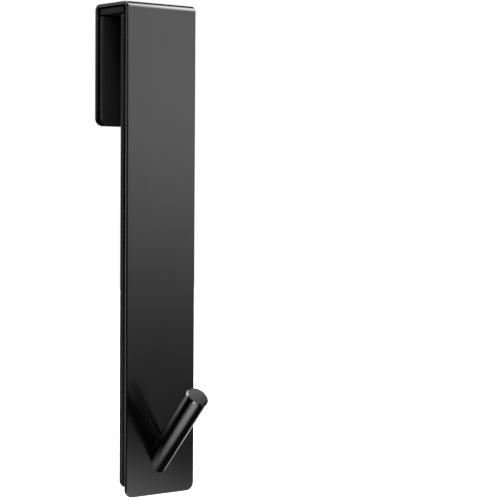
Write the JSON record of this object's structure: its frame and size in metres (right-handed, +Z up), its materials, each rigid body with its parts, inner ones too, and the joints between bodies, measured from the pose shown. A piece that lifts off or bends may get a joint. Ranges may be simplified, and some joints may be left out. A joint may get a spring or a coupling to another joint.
{
  "type": "over door hook",
  "caption": "Black metal strap bent over a door's top edge, with rubber pads inside the bend, a long front leg and a slanting round peg near its end for towels, robes or bags.",
  "frame": {"origin": "middle of the top pad's underside, where the hook sits on the door's top edge", "axes": "+Z up, -Y the front of the hook, where the peg stands out, +Y into the room behind the door, X across the strap"},
  "size_m": [0.03, 0.0455, 0.1762],
  "materials": {
    "black_coated_steel": "semi-gloss black coating on steel",
    "black_rubber": "matt black rubber",
    "foam_tape": "matt black double-sided foam tape"
  },
  "bodies": {
    "root": {"strap": "black_coated_steel", "peg": "black_coated_steel", "top_pad": "black_rubber", "front_pad": "black_rubber", "back_pad": "black_rubber", "top_tape": "foam_tape", "front_tape": "foam_tape", "back_tape": "foam_tape"}
  },
  "joints": []
}
